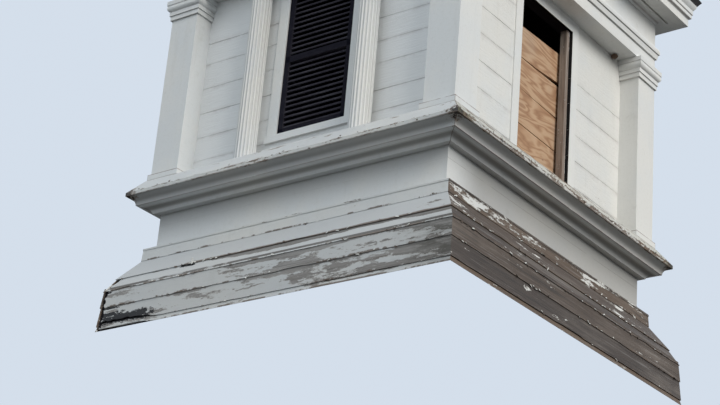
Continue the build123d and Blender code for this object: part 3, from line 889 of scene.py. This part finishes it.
def skirt_levels():
    """Each course as its top level and reach, and its low level and reach."""
    level, reach = SKIRT_TOP, PEDESTAL + SKIRT_REACH
    for (drop, low_reach), lap in zip(SKIRT_COURSES, LAPS):
        yield level, reach, level - drop, PEDESTAL + low_reach
        level -= drop
        reach = PEDESTAL + low_reach - lap


def along_list(stations, x):
    """The value at x between the stations of a list."""
    for (x0, low), (x1, high) in zip(stations, stations[1:]):
        if x < x1:
            return mixed(low, high, max(x - x0, 0.0) / (x1 - x0))
    return stations[-1][1]


def skirt_board(bm, side, number, course, rng):
    """One lapped board from corner to corner, with a ragged foot and, at the rotten corner, a ragged end."""
    top, top_reach, low, low_reach = course
    run = Vector((low_reach - top_reach, low - top)).normalized()
    inward = Vector((run.y, -run.x)) * LAPS[number]
    seed = rng.uniform(0, 100)
    proud = rng.uniform(-0.0010, 0.0)
    broken = side in ("front", "left") and number >= 2

    def shape(along, deep, up):
        u = mixed(-1.0, 1.0, along)
        rise = mixed(0.0, top - low + (TUCK if number else 0.0), up**FINER_FOOT)
        reach = low_reach - (low_reach - top_reach) * rise / (top - low)
        z = low + rise
        x = u * low_reach
        if up < 0.01 and number < 5:
            ragged = noise.noise(Vector((x * 9, seed, 0))) * 0.0022
            gone = max(noise.noise(Vector((x * 2.3, seed, 5))) - 0.28, 0) * 0.035
            z += ragged + gone
        if broken and number in ROT_RISE and x < ROT_START:
            teeth = 0.6 + 0.8 * abs(noise.noise(Vector((x * 24, seed, 2))))
            near = min((ROT_START - x) / 0.25, 1.0)
            z += max(0.0, 1 - up / 0.35) * near * teeth * ROT_RISE[number]
        reach += inward.x * deep + proud * (1 - deep)
        z += inward.y * deep
        x = u * reach
        if broken and along < RAGGED_END:
            bite = noise.noise(Vector((z * 26, seed, 9))) * 0.5 + 0.5
            splinter = noise.noise(Vector((z * 90, seed, 4))) * 0.5 + 0.5
            x += (1 - along / RAGGED_END) * (bite * BITE + splinter * SPLINTER)
        return Vector((x, -reach, max(z, 0.0)))

    def wear(place, up):
        amount = BARE[side][number]
        reached = max(LAP_DEPTH[number] * along_list(PEELED, place.x), 0.0005)
        under = 1 - max(top - place.z, 0.0) / reached
        amount += UNDER_LAP[number] * min(1.0, 2.5 * max(0.0, under))
        if number in MORE_BARE:
            amount += along_list(MORE_BARE[number], place.x)
        amount += ALONG_FOOT[number] * max(0.0, 1 - up / 0.25)
        return amount + 0.03 * noise.noise(Vector((place.x * 1.7, seed, 3)))

    def foot(place):
        reached = 1.0
        if side == "front" and number == 1:
            reached = min(max((place.x - ROT_START) / 0.2, 0.45), 1)
        return FOOT_GONE[number] * reached * min(max(0.0, 2.4 - (place.z - low) / 0.010), 1.0)

    timber(bm, SKIRT_COLUMNS, SKIRT_ROWS, shape, tone=rng.uniform(0, 1), wear=wear, foot=foot)


def skirt(side):
    """Lapped skirt boards with ragged feet and ends, over rough sheathing, and the sloped cap board."""
    rng = random.Random(f"skirt {side}")
    bm = bmesh.new()
    for number, course in enumerate(skirt_levels()):
        skirt_board(bm, side, number, course, rng)

    def cap_board(along, deep, up):
        reach = mixed(PEDESTAL + SKIRT_REACH + 0.004, PEDESTAL, up)
        z = mixed(SKIRT_TOP, SKIRT_TOP + CAP_BOARD_RISE, up) - deep * CAP_BOARD_DEPTH
        return Vector((mixed(-reach, reach, along), -reach, z + (0.0 if up > 0.5 else 0.0008)))

    timber(bm, 40, 2, cap_board, tone=rng.uniform(0, 1), wear=lambda place, up: BARE[side][0] + 0.03)
    for top, top_reach, low, low_reach in skirt_levels():

        def backing(along, deep, up):
            reach = mixed(low_reach, top_reach, up) - BACKING_GAP - deep * BACKING_DEPTH
            z = max(mixed(low, top - 0.002, up), 0.0)
            return Vector((mixed(-reach, reach, along), -reach, z))

        timber(bm, 1, 1, backing, SHEATHING)
    materials = [ALONG[side]["skirt"], ALONG[side]["sheathing"]]
    piece = new_piece(f"{side}_skirt_boards", bm, materials, side)
    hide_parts(f"{side}_skirt")


for side in SIDES:
    skirt(side)

# Paint chips: how many hang on the lip and on the laps, and one large one by the dark hole
CHIPS = {"front": (70, 60), "right": (190, 130), "back": (60, 60), "left": (80, 80)}
LIP_TOP_SLOPE = 0.817
LARGE_CHIP_PLACE = (-0.810, -1.646, 0.480)
LARGE_CHIP_SIZE = (0.020, 0.060)


def chip(bm, place, size, curl, roll, tone, seed):
    """A curled chip of old paint that hangs by its upper edge."""
    width, height = size

    def shape(along, deep, up):
        torn = noise.noise(Vector((along * 3, up * 3, seed))) * 0.35
        a = (along - 0.5) * width * (1 + torn)
        b = (up - 0.5) * height * (1 + torn)
        away = 0.0006 + curl * (1 - up) ** 2 - deep * 0.0012
        x = a * math.cos(roll) - b * math.sin(roll)
        z = a * math.sin(roll) + b * math.cos(roll)
        return place + Vector((x, -away, z))

    timber(bm, 3, 2, shape, tone=tone)


def chips(side):
    """Chips of paint along the ledge's lip and under the skirt's laps."""
    rng = random.Random(f"chips {side}")
    bm = bmesh.new()
    on_lip, on_laps = CHIPS[side]
    for _ in range(on_lip):
        level = rng.triangular(LIP_FOOT - 0.003, LIP_TOP + 0.045, LIP_TOP)
        back = max(level - LIP_TOP, 0.0) * LIP_TOP_SLOPE
        along = rng.uniform(-1, 1) * (LIP_REACH - 0.03)
        size = (rng.uniform(0.008, 0.030), rng.uniform(0.004, 0.012))
        place = Vector((along, -LIP_REACH + back, level))
        chip(bm, place, size, rng.uniform(0.0, 0.006), rng.gauss(0, 0.5), rng.random(), rng.uniform(0, 50))
    courses = list(skirt_levels())
    for _ in range(on_laps):
        low, low_reach = courses[min(int(rng.triangular(0, 5, 1)), 4)][2:]
        along = rng.uniform(-1, 1) * (low_reach - 0.06)
        size = (rng.uniform(0.008, 0.034), rng.uniform(0.004, 0.012))
        place = Vector((along, -low_reach, low + rng.uniform(-0.004, 0.010)))
        chip(bm, place, size, rng.uniform(0.001, 0.007), rng.gauss(0, 0.4), rng.random(), rng.uniform(0, 50))
    if side == "front":
        chip(bm, Vector(LARGE_CHIP_PLACE), LARGE_CHIP_SIZE, 0.012, 0.25, 0.0, 7.0)
    new_piece(f"{side}_paint_chips", bm, [loose_paint], side)


for side in SIDES:
    chips(side)

STRIP_DEPTH = 0.012
STRIP_HEIGHT = 0.026
STRIP_BEHIND = 0.002  # how far its back stays within the louvre's


def rail_strip(side):
    """A low dark strip on the louvre's middle rail, behind the lowest blade above it: a dark stand-in for the
    shade of the belfry's inside, seen through the gap.
    """
    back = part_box("front_louvre")[1].y - STRIP_BEHIND
    clear = OPENING[GRAIN[side]] - LOUVRE_STILE
    rail_top = LOUVRE_RAILS[1][1]
    bm = bmesh.new()
    plain_board(bm, (-clear, back - STRIP_DEPTH, rail_top), (clear, back, rail_top + STRIP_HEIGHT))
    new_piece(f"{side}_louvre_strip", bm, [dark_paint], side)


for side in ("front", "back", "left"):
    rail_strip(side)

# Spire: the flared eave below a break, the steep slope above it, and the courses of tabs on both
eave_low, eave_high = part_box("front_spire_slope")
ROOF_EDGE = 0.059
FLARE = math.radians(34)
STEEP = math.radians(70)
TIP_REACH = eave_high.x
TIP_LEVEL = eave_low.z + ROOF_EDGE * math.cos(FLARE)
BREAK_REACH = 1.400
BREAK_LEVEL = TIP_LEVEL + (TIP_REACH - BREAK_REACH) * math.tan(FLARE)
TOP_LEVEL = eave_high.z
TOP_REACH = BREAK_REACH - (TOP_LEVEL - BREAK_LEVEL) / math.tan(STEEP)
FLARE_LENGTH = (TIP_REACH - BREAK_REACH) / math.cos(FLARE)
SLOPE_LENGTH = FLARE_LENGTH + (BREAK_REACH - TOP_REACH) / math.cos(STEEP)
FIRST_TAB = 0.012
EXPOSURE = 0.128
OVERLAP = 0.02
TAB_WIDTH = 0.305
FIRST_HIP_TAB = 0.030
HIP_EXPOSURE = 0.13
HIP_TAB_LENGTH = 0.165


def slope_point(distance):
    """Reach and level on the roof at a distance up from the eave's tip, with the outward normal."""
    if distance <= FLARE_LENGTH:
        pitch, reach, level, rest = FLARE, TIP_REACH, TIP_LEVEL, distance
    else:
        pitch, reach, level, rest = STEEP, BREAK_REACH, BREAK_LEVEL, distance - FLARE_LENGTH
    return reach - rest * math.cos(pitch), level + rest * math.sin(pitch), math.sin(pitch), math.cos(pitch)


def shingles(side):
    """Courses of tabs up one slope, each lapped over the one below."""
    rng = random.Random(f"shingles {side}")
    bm = bmesh.new()
    course = 0
    start = FIRST_TAB
    while start + EXPOSURE < SLOPE_LENGTH:
        reach = slope_point(start)[0]
        offset = (course % 2) * TAB_WIDTH / 2 + rng.uniform(-0.02, 0.02)
        count = int(2 * reach / TAB_WIDTH) + 3
        for i in range(count):
            x0 = -count * TAB_WIDTH / 2 + i * TAB_WIDTH + offset
            x1 = x0 + TAB_WIDTH - rng.uniform(0.005, 0.009)
            if x1 < -reach + 0.01 or x0 > reach - 0.01:
                continue
            dip = rng.uniform(-0.0035, 0.0035)
            lift = rng.uniform(0.0045, 0.0070)
            if course == 0:
                dip = max(dip, -0.002)

            def shape(along, deep, up):
                r, z, nr, nz = slope_point(min(start + mixed(dip, EXPOSURE + OVERLAP, up), SLOPE_LENGTH))
                out = mixed(lift, 0.0008, up) if deep < 0.5 else -0.004
                x = min(max(mixed(x0, x1, along), -r), r)
                return Vector((x, -(r + out * nr), z + out * nz))

            timber(bm, 1, 1, shape, tone=rng.uniform(0, 1))
        start += EXPOSURE
        course += 1
    new_piece(f"{side}_shingles", bm, [tab_shingle], side)


for side in SIDES:
    shingles(side)


def hips():
    """Folded tabs over the four corners of the spire."""
    rng = random.Random("hips")
    bm = bmesh.new()
    for side in SIDES:
        first_vert = len(bm.verts)
        start = FIRST_HIP_TAB
        while start + HIP_EXPOSURE < SLOPE_LENGTH:
            wing = rng.uniform(0.098, 0.106)
            lift = rng.uniform(0.010, 0.0125)

            def shape(along, deep, up):
                r, z, nr, nz = slope_point(min(start + mixed(0.0, HIP_TAB_LENGTH, up), SLOPE_LENGTH))
                out = mixed(lift, 0.0065, up) - deep * 0.004
                wide = min(wing, r)
                left = max(0.0, 1 - 2 * along) * wide
                right = max(0.0, 2 * along - 1) * wide
                return Vector((r + out * nr - left, -(r + out * nr - right), z + out * nz))

            timber(bm, 2, 1, shape, tone=rng.uniform(0, 1))
            start += HIP_EXPOSURE
        bm.verts.ensure_lookup_table()
        bmesh.ops.transform(bm, matrix=TURN[side], verts=bm.verts[first_vert:])
    new_piece("spire_hips", bm, [tab_shingle])


hips()

NEST_ALONG = 1.080
NEST_RADIUS = 0.030
NEST_FLAT_TOP = 0.018
NEST_FLAT_BACK = 0.026


def nest():
    """A lump of mud under the right architrave, against the boards."""
    bm = bmesh.new()
    bmesh.ops.create_icosphere(bm, subdivisions=3, radius=NEST_RADIUS)
    for vert in bm.verts:
        vert.co *= 1 + noise.noise(vert.co * 60) * 0.16
        vert.co.z = min(vert.co.z * 0.75, NEST_FLAT_TOP)
        vert.co.y = min(vert.co.y, NEST_FLAT_BACK)
    bm.transform(Matrix.Translation((NEST_ALONG, -SIDING - NEST_FLAT_BACK, SOFFIT - NEST_FLAT_TOP)))
    new_piece("mud_nest", bm, [mud("nest_mud")], "right")


nest()

# Floor, light and camera. The backdrop's colour also shows through the open base, from beneath
BACKGROUND = (0.66, 0.735, 0.83)
FLOOR_LIT = (0.115, 0.115, 0.115)
FLOOR_SEEN = (0.70, 0.72, 0.75)
FLOOR_HALF = 60.0
FLOOR_LEVEL = -0.002
PATCH_LEVEL = -0.001
PATCH_WHOLE = 1.74
PATCH_BROKEN = 1.7165
SKY = (0.90, 0.96, 1.0)
SKY_STRENGTH = 0.46


def floor_finish(name, beneath, sockets=None):
    """A pale floor that shows from above only; seen from beneath it gives way to another surface."""
    f = Finish(name)
    below = f.add("ShaderNodeNewGeometry", output="Backfacing")
    seen = f.light_path("Is Camera Ray")
    pale = f.add("ShaderNodeBsdfDiffuse", {}, {"Color": f.blend(FLOOR_LIT, FLOOR_SEEN, seen)})
    other = f.add(beneath, {}, sockets)
    return f.close(f.add("ShaderNodeMixShader", {}, {0: below * seen, 1: pale, 2: other}))


def stage_plane(name, half, level, material):
    """A level square that isn't part of the steeple."""
    bm = bmesh.new()
    bmesh.ops.create_grid(bm, x_segments=1, y_segments=1, size=half, matrix=Matrix.Translation((0, 0, level)))
    plane = closed(name, bm, [material])
    return plane


stage_plane("floor", FLOOR_HALF, FLOOR_LEVEL, floor_finish("pale_floor", "ShaderNodeBsdfTransparent"))
glow = {"Color": colour(BACKGROUND), "Strength": 1.0}
patch_finish = floor_finish("base_patch", "ShaderNodeEmission", glow)
patch = stage_plane("base_patch", 1.0, PATCH_LEVEL, patch_finish)
for vert in patch.data.vertices:
    vert.co.x = PATCH_BROKEN if vert.co.x > 0 else -PATCH_WHOLE
    vert.co.y = PATCH_WHOLE if vert.co.y > 0 else -PATCH_BROKEN

studio = Finish("studio", world=True)
seen = studio.light_path("Is Camera Ray") + studio.light_path("Is Glossy Ray")
seen = seen + studio.light_path("Is Transmission Ray")
sky = studio.add("ShaderNodeBackground", {}, {"Color": colour(SKY), "Strength": SKY_STRENGTH})
backdrop = studio.add("ShaderNodeBackground", {}, glow)
bpy.context.scene.world = studio.close(studio.add("ShaderNodeMixShader", {}, {0: seen, 1: sky, 2: backdrop}))


def sun(name, toward, strength, tint, softness):
    """A soft distant lamp that shines from a direction."""
    lamp = bpy.data.lights.new(name, "SUN")
    lamp.energy = strength
    lamp.color = tint
    lamp.angle = math.radians(softness)
    holder = linked(name, lamp)
    holder.rotation_mode = "QUATERNION"
    holder.rotation_quaternion = Vector(toward).to_track_quat("Z", "Y")


sun("key", (1.0, -0.28, 0.66), 2.29, (1.0, 0.965, 0.91), 36)
sun("fill", (-0.35, -1.0, 0.50), 0.65, (0.84, 0.93, 1.0), 70)

# The camera as solved from the photo's edges
YAW, PITCH, ROLL = (math.radians(a) for a in (38.5425, 24.1909, 4.9903))
CAMERA_PLACE = (8.5109, -11.3031, -4.8935)
FOCAL_LENGTH = 91.457
SENSOR_WIDTH = 36
ahead = Vector((-math.sin(YAW) * math.cos(PITCH), math.cos(YAW) * math.cos(PITCH), math.sin(PITCH)))
level_right = Vector((math.cos(YAW), math.sin(YAW), 0))
level_up = level_right.cross(ahead)
right = math.cos(ROLL) * level_right + math.sin(ROLL) * level_up
up = math.cos(ROLL) * level_up - math.sin(ROLL) * level_right
lens = bpy.data.cameras.new("camera")
lens.sensor_width = SENSOR_WIDTH
lens.lens = FOCAL_LENGTH
lens.clip_end = 200
camera = linked("camera", lens)
camera.matrix_world = Matrix.Translation(CAMERA_PLACE) @ Matrix((right, up, -ahead)).transposed().to_4x4()
bpy.context.scene.camera = camera
bpy.context.scene.view_settings.view_transform = "Standard"
